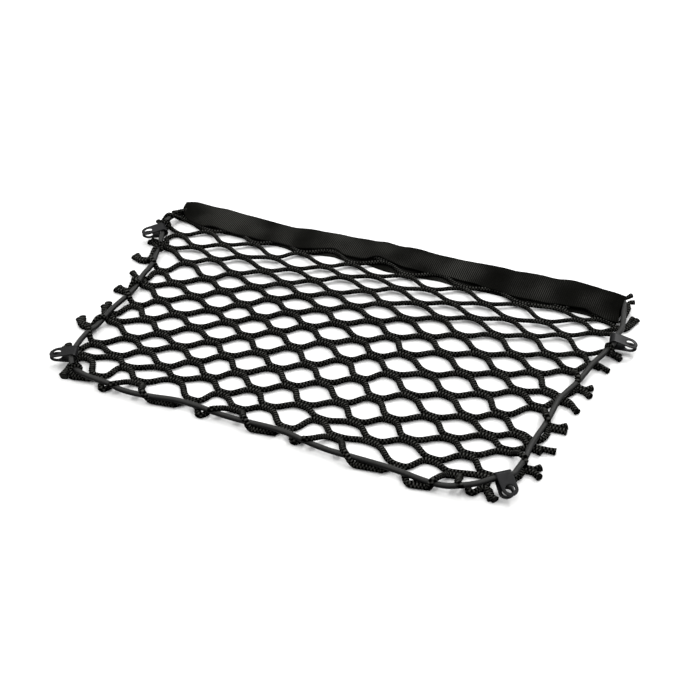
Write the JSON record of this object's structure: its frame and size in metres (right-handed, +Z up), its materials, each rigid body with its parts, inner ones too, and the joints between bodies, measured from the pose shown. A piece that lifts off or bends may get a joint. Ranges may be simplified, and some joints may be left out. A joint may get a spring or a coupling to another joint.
{
  "type": "cargo net",
  "caption": "Rectangular elastic storage net of diamond mesh on a frame cord, with a webbing band along one long edge and a metal eye clip at each corner.",
  "frame": {"origin": "centre of the object's box, on the surface that the net lies on", "axes": "+X along the webbing band, +Y from the plain front edge to the band, +Z up"},
  "size_m": [0.4326, 0.2761, 0.0144],
  "materials": {
    "net_cord": "matt braided cord",
    "frame_cord": "smooth woven cover, soft sheen",
    "webbing": "matt ribbed weave",
    "clip": "black coating, satin"
  },
  "bodies": {
    "root": {"net": "net_cord", "frame_cord": "frame_cord", "band": "webbing", "clip_front_left": "clip", "clip_front_right": "clip", "clip_back_right": "clip", "clip_back_left": "clip"}
  },
  "joints": []
}
